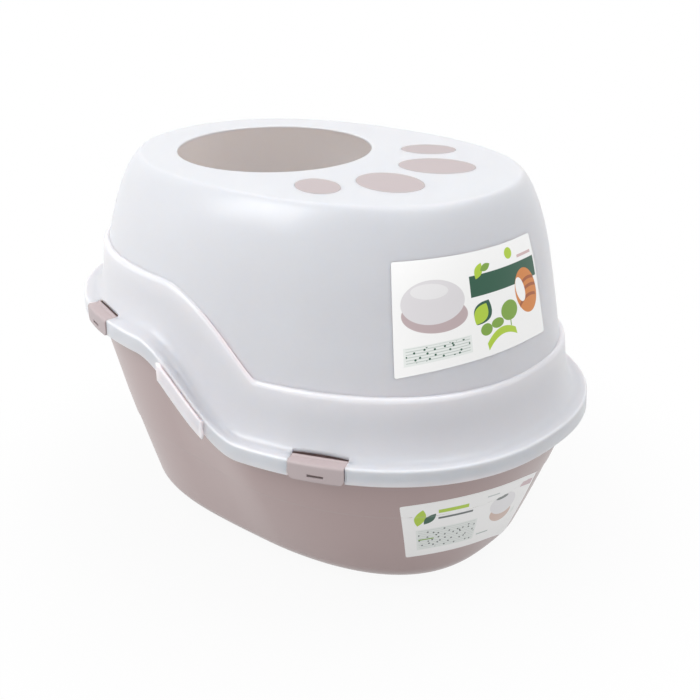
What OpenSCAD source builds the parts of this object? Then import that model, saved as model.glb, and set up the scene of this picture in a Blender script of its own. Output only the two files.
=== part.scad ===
// Top entry litter box: an open tray, a domed hood over it with a round way in through its
// flat top, four clips that hold the hood down, and four toe inlays set flush in the top.
//
// The long axis is X, with the low end of the rim at +X and the high end at -X.
// The floor is at z = 0. Both shells are skins of rings: each ring is one level of the wall,
// and all rings share the same stations round the oval, so that nested walls stay parallel.

/* [Rim] */
// Length of the box, over the lip
rim_length = 570; // [480:5:660]
// Width of the box, over the lip
rim_width = 427; // [360:1:500]
// Squareness of the rim's oval, where 2 is an ellipse
rim_squareness = 2.31; // [2:0.01:2.6]
// Height of the lip's lower edge at the low end
rim_low_height = 156; // [130:1:180]
// Rise of the rim from the low end to the high end
rim_rise = 76; // [50:1:90]
// Length along the box over which the rim rises
rise_run = 135; // [110:1:170]
// Place of the middle of that rise, from the middle of the box towards the low end
rise_middle = 2; // [-12:1:12]

/* [Hood] */
// Height of the hood's flat top above the floor
box_height = 395; // [370:1:420]
// Wall thickness of the hood
hood_wall = 2.4; // [2:0.1:2.8]
// Height of the hood's lip
lip_height = 15.5; // [14.5:0.1:18]
// Radius of the outer corner between lip and flange
lip_round = 4; // [3:0.1:5]
// Distance from the lip inwards to the dome, at the bead on the low end
dome_inset = 25; // [22:0.5:32]
// Distance of the dome's middle from the middle of the rim, towards the high end
dome_shift = 3; // [0:0.5:6]
// Squareness of the dome's oval, where 2 is an ellipse
dome_squareness = 2.22; // [2:0.01:2.6]
// How far the dome leans in between the bead on the low end and the shoulder
dome_lean = 20; // [14:0.5:28]
// Height of the rounded shoulder
shoulder_rise = 66; // [50:1:75]
// Width of the rounded shoulder
shoulder_run = 28; // [20:1:36]
// Height of the bead above the lip's lower edge, at the low end
bead_height = 77; // [68:1:86]
// Rise of the bead from the low end to the high end
bead_rise = 67; // [50:1:76]
// How much nearer the low end the bead's rise is than the rim's rise
bead_lead = 23; // [10:1:30]
// Width of the bead's ledge
bead_width = 3; // [2:0.1:4]
// Height of the rounded edge of that ledge
bead_drop = 5; // [4:0.1:7]
// Tightness of the hollow between flange and hood wall, where 2 is a quarter circle
flare_tightness = 3.2; // [2.4:0.1:4]

/* [Entry and toes] */
// Edge left on the flat top behind and in front of the paw print
print_end_margin = 41; // [30:1:50]
// Edge left on the flat top at each side of the paw print
print_side_margin = 30; // [25:1:36]
// Depth of the recess that a toe inlay lies in
inlay_depth = 1.4; // [1:0.1:1.6]
// Width of the ledge under a toe inlay's edge
inlay_ledge = 3; // [2:0.1:4]
// Length of the collar that locates a toe inlay, below the recess
collar_length = 5; // [3:0.5:8]
// Wall thickness of that collar
collar_wall = 1.6; // [1.2:0.1:2]
// Gap round a toe inlay
inlay_gap = 0.15; // [0.1:0.01:0.2]

/* [Tray] */
// Wall thickness of the tray
tray_wall = 2.6; // [2:0.1:3]
// Distance from the lip inwards to the tray's wall, at the rim
tray_inset = 13; // [12:0.5:15]
// Distance from the lip inwards to the foot, at both ends
foot_end_inset = 63; // [55:1:75]
// Distance from the lip inwards to the foot, at both sides
foot_side_inset = 80; // [60:1:90]
// Distance of the foot's middle from the middle of the rim, towards the high end
foot_shift = 8; // [0:1:12]
// Squareness of the foot's oval, where 2 is an ellipse
foot_squareness = 2.44; // [2:0.01:2.7]
// Radius between the tray's wall and its floor
floor_round = 21; // [14:1:30]
// Height of the foot's upright edge
foot_edge = 3; // [2:0.5:5]
// Height of the step that runs round the tray's wall
step_height = 105; // [80:1:115]
// Depth of that step
step_depth = 0.9; // [0.5:0.1:1.2]
// Height of the tray's turned-down edge
turn_height = 10; // [8:0.5:10.5]
// Thickness of the tray's flange and turned-down edge
turn_wall = 2.2; // [1.8:0.1:2.4]
// Gap between the hood and the tray's flange, above and beside it
nest_gap = 0.4; // [0.3:0.05:0.6]

/* [Clips] */
// Width of a clip
clip_width = 55; // [45:1:65]
// Distance of a clip's middle from the middle of the box
clip_distance = 150; // [140:1:155]
// Wall thickness of a clip
clip_wall = 2.2; // [1.8:0.1:2.6]
// How far a clip's face stands out from the lip
clip_proud = 1; // [0.6:0.1:1.6]
// How far a clip reaches below the lip
clip_drop = 2.2; // [1.8:0.1:3]
// Radius of a clip's lower corners
clip_corner = 7; // [4:0.5:9]
// Gap between a clip and the sides of its notch
clip_gap = 0.4; // [0.3:0.05:0.6]
// Distance from the lip inwards to a clip's hinge line
hinge_inset = 13; // [12:0.5:14]
// Radius of a clip's hinge barrel
barrel_radius = 2.3; // [2.1:0.05:2.4]
// Gap between the barrel and the notch behind it
barrel_gap = 1; // [0.6:0.1:1.4]
// Radius of a clip's hinge pins
pin_radius = 1.4; // [1.2:0.05:1.5]
// Gap between a hinge pin and its bore
pin_gap = 0.07; // [0.05:0.01:0.09]
// Length of a hinge pin inside its knuckle
pin_length = 4; // [3:0.5:6]
// Radius of the knuckles in the hood that hold the hinge pins
knuckle_radius = 2.7; // [2.5:0.05:2.8]
// How far a clip's hook reaches under the tray's turned-down edge
hook_reach = 1.5; // [1:0.1:2]
// Gap between hook and turned-down edge, which lets the clip swing
hook_gap = 1; // [0.9:0.05:1.2]
// Length of the window in a clip's face
window_length = 16; // [10:1:24]
// Height of that window
window_height = 2.8; // [2:0.1:3.5]
// Height of the window's middle above the lip's lower edge
window_place = 4.5; // [4:0.1:6]

/* [Side grips] */
// Length of a side grip along the box
grip_length = 57; // [40:1:80]
// How far a side grip stands out from the lip
grip_proud = 4.2; // [3.6:0.1:5]
// Wall thickness of a side grip
grip_wall = 2.4; // [2:0.1:2.6]
// How far a side grip reaches below the lip
grip_drop = 3.5; // [2:0.1:5]
// Length of the closed end at each end of the grip's slot
grip_end = 3; // [2:0.5:5]

/* [Hidden] */

HOOD_COLOUR = [0.93, 0.91, 0.92];
TRAY_COLOUR = [0.71, 0.64, 0.64];
TRIM_COLOUR = [0.80, 0.76, 0.77];

$fn = 48;
STATIONS = 96;          // points round each oval ring
CROWDING = 12.9;        // degrees by which the stations crowd to the sides, where the rim rises
FLARE_STEPS = 6;
SHOULDER_STEPS = 6;
FLOOR_STEPS = 4;
GRIP_STEPS = 10;
OVERLAP = 1;            // depth to which joined solids run into each other
REACH = 30;             // length by which a cutting solid runs past what it cuts

rim_a = rim_length / 2;
rim_b = rim_width / 2;
lip_draft = 0.4;
flange_start = lip_draft + lip_round;

bead_base = rim_low_height + bead_height;
dome_a = rim_a - dome_inset;
dome_b = rim_b - dome_inset;
shoulder_base = box_height - shoulder_rise;
top_a = dome_a - dome_lean - shoulder_run;
top_b = dome_b - dome_lean - shoulder_run;

foot_a = rim_a - foot_end_inset;
foot_b = rim_b - foot_side_inset;

// Heights above the lip's lower edge
flange_under = lip_height - hood_wall;
turn_top = flange_under - nest_gap;
turn_foot = turn_top - turn_height;
turn_face = hood_wall + lip_draft + nest_gap + 0.1;
hook_top = turn_foot - hook_gap;
hinge_height = lip_height - 0.4;

// The paw print, as places and sizes in one half of the flat top's clear length and width
print_a = top_a - print_end_margin;
print_b = top_b - print_side_margin;
ENTRY_PLACE = -0.375;
ENTRY_SIZE = [0.625, 0.914];
INNER_TOE = [0.70, 0.336, 0.235, 0.268, 16];
OUTER_TOE = [0.427, 0.784, 0.174, 0.190, 25];

// ---- Curves ----

function power(v, e) = sign(v) * pow(abs(v), e);

// Point of an oval at station angle t, with half-axes a and b and squareness n
function oval(t, a, b, n, shift = 0) = [a * power(cos(t), 2 / n) - shift, b * power(sin(t), 2 / n)];

function station(i) = 360 * i / STATIONS + CROWDING * sin(720 * i / STATIONS);

function smooth(u) = let (v = min(1, max(0, u))) v * v * (3 - 2 * v);

// Share of the rise reached at x, from 0 at the low end to 1 at the high end
function risen(x, middle) = smooth((middle + rise_run / 2 - x) / rise_run);

function rim_z(t) = rim_low_height + rim_rise * risen(oval(t, rim_a, rim_b, rim_squareness)[0], rise_middle);

// Point at a distance inwards from the lip's outer face and a height above its lower edge
function at_rim(t, inset, up) =
    let (p = oval(t, rim_a - inset, rim_b - inset, rim_squareness)) [p[0], p[1], rim_z(t) + up];

function dome_inset_at(z) =
    let (u = (z - bead_base) / (shoulder_base - bead_base)) dome_lean * (0.8 * u + 0.2 * u * abs(u));

function at_dome(t, inset, z) =
    let (d = inset + dome_inset_at(min(z, shoulder_base)),
         p = oval(t, dome_a - d, dome_b - d, dome_squareness, dome_shift))
    [p[0], p[1], z];

function bead_z(t) =
    bead_base + bead_rise * risen(oval(t, dome_a, dome_b, dome_squareness, dome_shift)[0],
                                  rise_middle + bead_lead);

// Place on the station angle where the rim is a distance x from the middle of the box
function angle_at(x) = acos(pow(x / rim_a, rim_squareness / 2));

// Direction in which the rim's oval faces at station angle t
function facing(t) =
    let (p = oval(t, rim_a, rim_b, rim_squareness), e = rim_squareness - 1)
    atan2(power(p[1] / rim_b, e) / rim_b, power(p[0] / rim_a, e) / rim_a);

// Radius of the circle through three near points of the rim
function bend_radius(t) =
    let (p = oval(t - 4, rim_a, rim_b, rim_squareness),
         q = oval(t, rim_a, rim_b, rim_squareness),
         r = oval(t + 4, rim_a, rim_b, rim_squareness),
         twice_area = abs((q[0] - p[0]) * (r[1] - p[1]) - (q[1] - p[1]) * (r[0] - p[0])))
    norm(q - p) * norm(r - q) * norm(r - p) / (2 * twice_area);

// ---- Skins ----

// Solid between rings of equal length. A looped skin joins its last ring to its first;
// any other has both end rings filled in.
module skin(rings, looped = false) {
    m = len(rings[0]);
    n = len(rings);
    spans = looped ? n : n - 1;
    sides = [
        for (j = [0 : spans - 1], i = [0 : m - 1])
            let (a = j * m + i, b = j * m + (i + 1) % m, k = (j + 1) % n,
                 c = k * m + (i + 1) % m, d = k * m + i)
                each [[a, c, b], [a, d, c]]
    ];
    ends = looped ? [] : [
        [for (i = [0 : m - 1]) i],
        [for (i = [m - 1 : -1 : 0]) (n - 1) * m + i]
    ];
    polyhedron([for (ring = rings) each ring], concat(sides, ends));
}

// ---- Hood ----

// A ring on the hollow between flange and hood wall. Angle 90 is the flange's edge and 0 is
// the wall under the bead; depth is how far the ring lies under the outer surface.
function flare_ring(angle, depth) =
    let (e = 2 / flare_tightness, out = pow(cos(angle), e), up = 1 - pow(sin(angle), e),
         lie = atan2(0.45 * sin(angle), cos(angle)))
    [
        for (i = [0 : STATIONS - 1])
            let (t = station(i),
                 in = depth * cos(lie),
                 low = at_rim(t, flange_start + in, lip_height),
                 high = at_dome(t, in - bead_width, bead_z(t) - bead_drop))
                [
                    low[0] + out * (high[0] - low[0]),
                    low[1] + out * (high[1] - low[1]),
                    low[2] + up * (high[2] - low[2]) - depth * sin(lie)
                ]
    ];

function lip_ring(inset, up) = [for (i = [0 : STATIONS - 1]) at_rim(station(i), inset, up)];

// A ring along the bead, moved from the dome's outer surface
function bead_ring(inset, up) = [for (i = [0 : STATIONS - 1]) at_dome(station(i), inset, bead_z(station(i)) + up)];

// A ring on the dome's wall, part of the way from the bead to the shoulder
function wall_ring(share, depth) = [
    for (i = [0 : STATIONS - 1])
        let (z = bead_z(station(i))) at_dome(station(i), depth, z + share * (shoulder_base - z))
];

// A ring on the shoulder: angle 0 is its base and 90 the flat top
function shoulder_ring(angle, depth) =
    let (lie = atan2(shoulder_run * sin(angle), shoulder_rise * cos(angle)))
    [
        for (i = [0 : STATIONS - 1])
            at_dome(station(i), shoulder_run * (1 - cos(angle)) + depth * cos(lie),
                    shoulder_base + shoulder_rise * sin(angle) - depth * sin(lie))
    ];

function entry_ring(grow, z) = [
    for (i = [0 : STATIONS - 1])
        let (p = oval(station(i), print_a * ENTRY_SIZE[0] + grow, print_b * ENTRY_SIZE[1] + grow, 2))
            [p[0] + print_a * ENTRY_PLACE - dome_shift, p[1], z]
];

function hood_rings() =
    let (edge = hood_wall / 2, fillet = lip_round * sqrt(0.5))
    concat(
        [
            lip_ring(0, 0),
            lip_ring(lip_draft, lip_height - lip_round),
            lip_ring(flange_start - fillet, lip_height - lip_round + fillet)
        ],
        [for (k = [0 : FLARE_STEPS]) flare_ring(90 * (1 - k / FLARE_STEPS), 0)],
        [
            bead_ring(0.35 * bead_width - bead_width, -0.35 * bead_drop),
            bead_ring(-0.3 * bead_width, -0.06 * bead_drop),
            bead_ring(0, 0),
            wall_ring(0.12, 0),
            wall_ring(0.5, 0)
        ],
        [for (k = [0 : SHOULDER_STEPS]) shoulder_ring(90 * k / SHOULDER_STEPS, 0)],
        [
            entry_ring(edge, box_height),
            entry_ring(0.25 * edge, box_height - 0.25 * edge),
            entry_ring(0, box_height - edge),
            entry_ring(0, box_height - hood_wall)
        ],
        [for (k = [SHOULDER_STEPS : -2 : 1]) shoulder_ring(90 * k / SHOULDER_STEPS, hood_wall)],
        [
            shoulder_ring(0, hood_wall),
            bead_ring(hood_wall, 0),
            bead_ring(hood_wall - 0.7 * bead_width, -0.35 * bead_drop - hood_wall)
        ],
        [for (k = [FLARE_STEPS - 1 : -1 : 0]) flare_ring(90 * (1 - k / FLARE_STEPS), hood_wall)],
        [
            lip_ring(hood_wall + lip_draft, flange_under - 1.2),
            lip_ring(hood_wall, 0)
        ]
    );

// Section of a side grip, which stands off the lip and is joined to it along its foot. Where it
// is open a slot runs behind its wall; its ends are closed.
function grip_section(t, open) =
    let (back = open ? grip_wall - grip_proud : OVERLAP, top = lip_height - 1, foot = 3, edge = 1)
    [
        at_rim(t, OVERLAP, 0.4),
        at_rim(t, grip_wall - grip_proud, -grip_drop),
        at_rim(t, edge - grip_proud, -grip_drop),
        at_rim(t, -grip_proud, edge - grip_drop),
        at_rim(t, -grip_proud, top - edge),
        at_rim(t, edge - grip_proud, top),
        at_rim(t, open ? back : OVERLAP, open ? top : top - 2),
        at_rim(t, open ? back : OVERLAP, open ? foot : top - 2.5),
        at_rim(t, OVERLAP, foot)
    ];

module side_grip(y_side) {
    half = grip_length / 2;
    slot = half - grip_end;
    places = [
        -half, -slot - 0.1,
        for (k = [0 : GRIP_STEPS]) slot * (2 * k / GRIP_STEPS - 1),
        slot + 0.1, half
    ];
    skin([
        for (k = [0 : len(places) - 1])
            let (x = y_side * places[k])
                grip_section(y_side * (x < 0 ? 180 - angle_at(-x) : angle_at(x)), abs(x) <= slot)
    ]);
}

module toe_shape(toe, gap) {
    scale([(print_a * toe[2] - gap) / (print_b * toe[3] - gap), 1]) circle(print_b * toe[3] - gap);
}

// Places children on the middle of a toe, with the hood's flat top at z = 0
module at_toe(toe, y_side) {
    translate([print_a * toe[0] - dome_shift, y_side * print_b * toe[1], box_height])
        rotate(y_side * toe[4])
            children();
}

module toe_recess(toe) {
    translate([0, 0, -inlay_depth])
        linear_extrude(inlay_depth + REACH) toe_shape(toe, 0);
    translate([0, 0, -hood_wall - OVERLAP])
        linear_extrude(hood_wall + 2 * OVERLAP) toe_shape(toe, inlay_ledge);
}

module toe_inlay(toe) {
    translate([0, 0, -inlay_depth])
        linear_extrude(inlay_depth) toe_shape(toe, inlay_gap);
    translate([0, 0, -inlay_depth - collar_length])
        linear_extrude(collar_length)
            difference() {
                toe_shape(toe, inlay_ledge + inlay_gap);
                toe_shape(toe, inlay_ledge + inlay_gap + collar_wall);
            }
}

// ---- Clips ----

// Places children on the lip's lower edge at a clip: x along the rim, y outwards, z up
module at_clip(x_side, y_side) {
    t = y_side * (x_side > 0 ? angle_at(clip_distance) : 180 - angle_at(clip_distance));
    p = at_rim(t, 0, 0);
    translate(p) rotate(facing(t) - 90) children();
}

module along_rim(length, radius) {
    translate([-length / 2, 0, 0]) rotate([0, 90, 0]) cylinder(h = length, r = radius);
}

module on_hinge() {
    translate([0, -hinge_inset, hinge_height]) children();
}

// Section of a clip, outwards from the lip's face: hook, face and top plate
function clip_profile() =
    let (back = clip_proud - clip_wall,
         bottom_round = 1.6,
         top_round = 3,
         web = 1.5,
         tip = -turn_face - hook_reach,
         top = lip_height + 1)
    concat(
        [[tip, hook_top], [tip, 0.8 - clip_drop], [tip + 0.8, -clip_drop]],
        [for (a = [-90 : 30 : 0]) [clip_proud - bottom_round + bottom_round * cos(a),
                                   bottom_round - clip_drop + bottom_round * sin(a)]],
        [for (a = [0 : 18 : 90]) [clip_proud - top_round + top_round * cos(a), top - top_round + top_round * sin(a)]],
        [
            [-hinge_inset, hinge_height + 0.5 * barrel_radius],
            [-hinge_inset, hinge_height - 0.4 * barrel_radius],
            [back - web, top - clip_wall],
            [back, top - clip_wall - web],
            [back, hook_top]
        ]
    );

// Outline of a clip from the front, with its two lower corners rounded
module clip_outline() {
    half = clip_width / 2;
    corner = [for (a = [0 : 15 : 90]) clip_corner * [1 - cos(a), 1 - sin(a)] - [half, clip_drop]];
    mirrored = [for (k = [len(corner) - 1 : -1 : 0]) [-corner[k][0], corner[k][1]]];
    polygon(concat([[-half, REACH]], corner, mirrored, [[half, REACH]]));
}

module clip() {
    bend = bend_radius(angle_at(clip_distance));
    sweep = 2 * asin((clip_width / 2 + 2) / (bend - hinge_inset - barrel_radius));
    difference() {
        union() {
            intersection() {
                translate([0, -bend, 0])
                    rotate(90 - sweep / 2)
                        rotate_extrude(angle = sweep, $fn = 180)
                            translate([bend, 0]) polygon(clip_profile());
                translate([0, REACH, 0])
                    rotate([90, 0, 0])
                        linear_extrude(2 * REACH) clip_outline();
            }
            on_hinge() along_rim(clip_width, barrel_radius);
            on_hinge() along_rim(clip_width + 2 * (clip_gap + pin_length), pin_radius);
        }
        translate([-window_length / 2, -hinge_inset / 2, window_place - window_height / 2])
            cube([window_length, REACH, window_height]);
    }
}

// The hood's notch for a clip
module clip_notch() {
    width = clip_width + 2 * clip_gap;
    deep = hinge_inset + barrel_radius + barrel_gap;
    translate([-width / 2, -deep, -REACH])
        cube([width, deep + REACH, REACH + lip_height + 2 * barrel_radius]);
}

module hinge_knuckles() {
    on_hinge() along_rim(clip_width + 2 * (clip_gap + pin_length + 1), knuckle_radius);
}

module hinge_bores() {
    on_hinge() along_rim(clip_width + 2 * (clip_gap + pin_length + 1) + 2 * OVERLAP, pin_radius + pin_gap);
}

// ---- Tray ----

// Point on the tray's outer wall at height z, moved inwards; the wall runs straight from the
// foot's oval to the rim's
function at_tray(t, inset, z) =
    let (low = oval(t, foot_a - inset, foot_b - inset, foot_squareness, foot_shift),
         high = oval(t, rim_a - tray_inset - inset, rim_b - tray_inset - inset, rim_squareness),
         u = z / rim_z(t))
    [low[0] + u * (high[0] - low[0]), low[1] + u * (high[1] - low[1]), z];

function tray_ring(inset, z) = [for (i = [0 : STATIONS - 1]) at_tray(station(i), inset, z)];

function tray_top_ring(inset, up) = [
    for (i = [0 : STATIONS - 1]) let (t = station(i), p = at_tray(t, inset, rim_z(t))) [p[0], p[1], p[2] + up]
];

// A ring on the curve between floor and wall, from angle 90 at the floor to 0 at the wall
function floor_ring(angle, radius, base, inset) =
    tray_ring(inset + radius * (1 - cos(angle)), base + radius * (1 - sin(angle)));

function tray_rings() =
    let (under = turn_top - turn_wall, round_off = 1.2)
    concat(
        [
            tray_ring(step_depth + floor_round + 1, 0),
            tray_ring(step_depth + floor_round, foot_edge)
        ],
        [for (k = [1 : FLOOR_STEPS]) floor_ring(90 * (1 - k / FLOOR_STEPS), floor_round, foot_edge, step_depth)],
        [
            tray_ring(step_depth, step_height - 1),
            tray_ring(0, step_height),
            tray_top_ring(0, under - 4),
            lip_ring(tray_inset - 2, under),
            lip_ring(turn_face + turn_wall, under - 0.5),
            lip_ring(turn_face + turn_wall, turn_foot),
            lip_ring(turn_face, turn_foot),
            lip_ring(turn_face, turn_top - round_off),
            lip_ring(turn_face + round_off, turn_top),
            lip_ring(tray_inset + tray_wall - 2, turn_top - 1),
            tray_top_ring(tray_wall, under - 2),
            tray_ring(tray_wall, step_height + 1),
            tray_ring(tray_wall + step_depth, step_height)
        ],
        [
            for (k = [FLOOR_STEPS : -1 : 0])
                floor_ring(90 * (1 - k / FLOOR_STEPS), floor_round - tray_wall, foot_edge + tray_wall,
                           step_depth + tray_wall)
        ]
    );

// ---- Nodes ----

module tray() {
    color(TRAY_COLOUR) skin(tray_rings());
}

module hood() {
    color(HOOD_COLOUR)
        difference() {
            union() {
                skin(hood_rings(), looped = true);
                for (y_side = [-1, 1]) side_grip(y_side);
                for (x_side = [-1, 1], y_side = [-1, 1]) at_clip(x_side, y_side) hinge_knuckles();
            }
            for (x_side = [-1, 1], y_side = [-1, 1])
                at_clip(x_side, y_side) {
                    clip_notch();
                    hinge_bores();
                }
            for (toe = [INNER_TOE, OUTER_TOE], y_side = [-1, 1]) at_toe(toe, y_side) toe_recess(toe);
        }
}

module clip_node(x_side, y_side) {
    color(TRIM_COLOUR) at_clip(x_side, y_side) clip();
}

module toe_node(toe, y_side) {
    color(TRIM_COLOUR) at_toe(toe, y_side) toe_inlay(toe);
}

tray();
hood();
clip_node(1, -1);  // front_right_clip
clip_node(1, 1);  // front_left_clip
clip_node(-1, -1);  // rear_right_clip
clip_node(-1, 1);  // rear_left_clip
toe_node(OUTER_TOE, -1);  // outer_right_toe
toe_node(INNER_TOE, -1);  // inner_right_toe
toe_node(INNER_TOE, 1);  // inner_left_toe
toe_node(OUTER_TOE, 1);  // outer_left_toe
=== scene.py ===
"""Looks of a top entry litter box: two moulded shells, four clips, four toe inlays and two labels.

Every length is in metres, in the frame of the CAD model: X runs along the box, with the low
end of the rim at +X, and the floor is at z = 0.
"""

import logging
import math
from collections.abc import Callable
from dataclasses import dataclass, field, fields
from enum import Enum

import bpy
import numpy as np
from bpy.types import Material, Mesh, Node, NodeSocket, NodeTree, Object
from mathutils import Matrix, Vector


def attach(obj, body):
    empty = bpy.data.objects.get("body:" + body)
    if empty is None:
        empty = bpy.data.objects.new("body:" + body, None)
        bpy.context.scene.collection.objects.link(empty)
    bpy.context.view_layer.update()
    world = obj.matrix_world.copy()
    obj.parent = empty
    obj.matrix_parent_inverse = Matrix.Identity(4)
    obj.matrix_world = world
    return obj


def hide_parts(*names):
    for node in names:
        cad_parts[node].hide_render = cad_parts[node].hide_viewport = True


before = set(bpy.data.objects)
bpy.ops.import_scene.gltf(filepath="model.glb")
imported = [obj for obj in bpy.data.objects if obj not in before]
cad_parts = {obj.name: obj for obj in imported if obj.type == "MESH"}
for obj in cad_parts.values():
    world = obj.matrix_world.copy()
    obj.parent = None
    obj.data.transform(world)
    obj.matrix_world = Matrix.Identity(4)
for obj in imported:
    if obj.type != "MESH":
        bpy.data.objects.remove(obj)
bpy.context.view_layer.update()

log = logging.getLogger("litter_box")

MM = 0.001
TINY = 1e-9
PICTURE_SIZE = 700

# Points round each level of a shell, how far they crowd to its sides, and points round a rod.
STATIONS = 384
CROWDING = math.radians(12.9)
ROD_SIDES = 32

# In a copy of a CAD node, points nearer than the distance are merged, faces that differ by less
# than the flat angle are joined, and edges over the edge angle are rounded.
MERGE_DISTANCE = 0.005 * MM
FLAT_ANGLE = math.radians(0.4)
EDGE_ANGLE = math.radians(32)

# Angles between faces, in degrees, over which an edge is shaded as sharp.
SHELL_SHARP = 38
DETAIL_SHARP = 40
INLAY_SHARP = 35

Colour = tuple[float, float, float]


class Body(Enum):
    """The CAD bodies that pieces ride on."""

    TRAY = "tray"
    HOOD = "hood"
    FRONT_RIGHT = "front_right_clip"
    FRONT_LEFT = "front_left_clip"
    REAR_RIGHT = "rear_right_clip"
    REAR_LEFT = "rear_left_clip"


class Slot(Enum):
    """The record's material slots."""

    TRAY = "tray_plastic"
    HOOD = "hood_plastic"
    TRIM = "trim_plastic"


# ---- Arithmetic in node trees ----


def operator(operation: str, turned: bool = False) -> Callable[["Number", "Number | float"], "Number"]:
    """One of Python's operators on numbers, as a Math node.

    Args:
        operation: the node's operation.
        turned: puts the other number first.

    Returns:
        The method.
    """

    def method(number: "Number", other: "Number | float") -> "Number":
        """The node's result."""
        if turned:
            return Number(number.tree, other).math(operation, number)
        return number.math(operation, other)

    return method


@dataclass(frozen=True)
class Number:
    """A number in a node tree: a socket, or a plain value that is the same everywhere."""

    tree: NodeTree
    value: NodeSocket | float

    def feed(self, socket: NodeSocket) -> None:
        """Puts this number into a socket."""
        if isinstance(self.value, (int, float)):
            socket.default_value = float(self.value)
        else:
            self.tree.links.new(self.value, socket)

    def math(self, operation: str, *others: "Number | float") -> "Number":
        """A Math node on this number.
        Args:
            operation: the node's operation.
            others: its other inputs.

        Returns:
            The node's result.
        """
        node = self.tree.nodes.new("ShaderNodeMath")
        node.operation = operation
        for socket, item in zip(node.inputs, (self, *others)):
            number = item if isinstance(item, Number) else Number(self.tree, item)
            number.feed(socket)
        return Number(self.tree, node.outputs[0])

    __add__ = __radd__ = operator("ADD")
    __sub__ = operator("SUBTRACT")
    __rsub__ = operator("SUBTRACT", turned=True)
    __mul__ = __rmul__ = operator("MULTIPLY")
    __truediv__ = operator("DIVIDE")
    __rtruediv__ = operator("DIVIDE", turned=True)

    def power(self, exponent: "Number | float") -> "Number":
        """This number's size to a power, with its sign kept."""
        return self.math("ABSOLUTE").math("POWER", exponent) * self.math("SIGN")

    def mix(self, other: "Number | float", share: "Number | float") -> "Number":
        """This number at share 0 and the other at share 1."""
        whole = other if isinstance(other, Number) else Number(self.tree, other)
        return self + (whole - self) * share

    def smooth(self) -> "Number":
        """This number held between 0 and 1 and eased at both ends."""
        held = self.math("MAXIMUM", 0.0).math("MINIMUM", 1.0)
        return held * held * (3.0 - 2.0 * held)


@dataclass
class Nodes:
    """A node tree in the making."""

    tree: NodeTree

    def fill(self, node: Node, /, **inputs: object) -> Node:
        """Sets or links inputs of a node.

        Args:
            node: the node.
            inputs: values or sockets, by the inputs' names with _ for a space.

        Returns:
            The node.
        """
        for name, value in inputs.items():
            socket = node.inputs[name.replace("_", " ")]
            if isinstance(value, Number):
                value.feed(socket)
            elif isinstance(value, NodeSocket):
                self.tree.links.new(value, socket)
            else:
                socket.default_value = value
        return node

    def add(self, kind: str, /, settings: dict[str, object] | None = None, **inputs: object) -> Node:
        """Adds a node.

        Args:
            kind: the node's type.
            settings: the node's own properties.
            inputs: its inputs, as in fill().

        Returns:
            The node.
        """
        node = self.tree.nodes.new(kind)
        for name, value in (settings or {}).items():
            setattr(node, name, value)
        return self.fill(node, **inputs)

    def number(self, value: NodeSocket | float) -> Number:
        """A number in this tree."""
        return Number(self.tree, value)

    def xyz(self, x: Number, y: Number, z: Number | float) -> NodeSocket:
        """A vector from three numbers."""
        return self.add("ShaderNodeCombineXYZ", X=x, Y=y, Z=z).outputs[0]

    def parts(self, vector: NodeSocket) -> tuple[Number, Number, Number]:
        """The three numbers of a vector."""
        node = self.add("ShaderNodeSeparateXYZ", Vector=vector)
        return tuple(self.number(socket) for socket in node.outputs)

    def noise(self, place: NodeSocket, **inputs: float) -> Number:
        """Noise between 0 and 1 at a place."""
        return self.number(self.add("ShaderNodeTexNoise", Vector=place, **inputs).outputs["Fac"])

    def ramp(self, share: Number, *ends: tuple[float, Colour]) -> NodeSocket:
        """A colour that runs between two, given with the shares at which they are reached."""
        node = self.add("ShaderNodeValToRGB", Fac=share)
        for element, (position, colour) in zip(node.color_ramp.elements, ends):
            element.position = position
            element.color = (*colour, 1.0)
        return node.outputs["Color"]

    def tinted(self, colour: NodeSocket, ink: Colour, share: Number, blend: str = "MIX") -> NodeSocket:
        """A colour with a share of another one on it."""
        return self.add(
            "ShaderNodeMix", {"data_type": "RGBA", "blend_type": blend}, Factor=share, A=colour, B=(*ink, 1.0)
        ).outputs["Result"]

    def cells(self, place: NodeSocket, scale: float, dimensions: str = "3D") -> Number:
        """Distance to the nearest of scattered points, as a share of their spacing."""
        cells = self.add(
            "ShaderNodeTexVoronoi", {"voronoi_dimensions": dimensions}, Vector=place, Scale=scale
        )
        return self.number(cells.outputs["Distance"])

    def bump(self, height: Number) -> NodeSocket:
        """A normal that follows a height in metres."""
        return self.add("ShaderNodeBump", Strength=1.0, Distance=1.0, Height=height).outputs[0]


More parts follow.
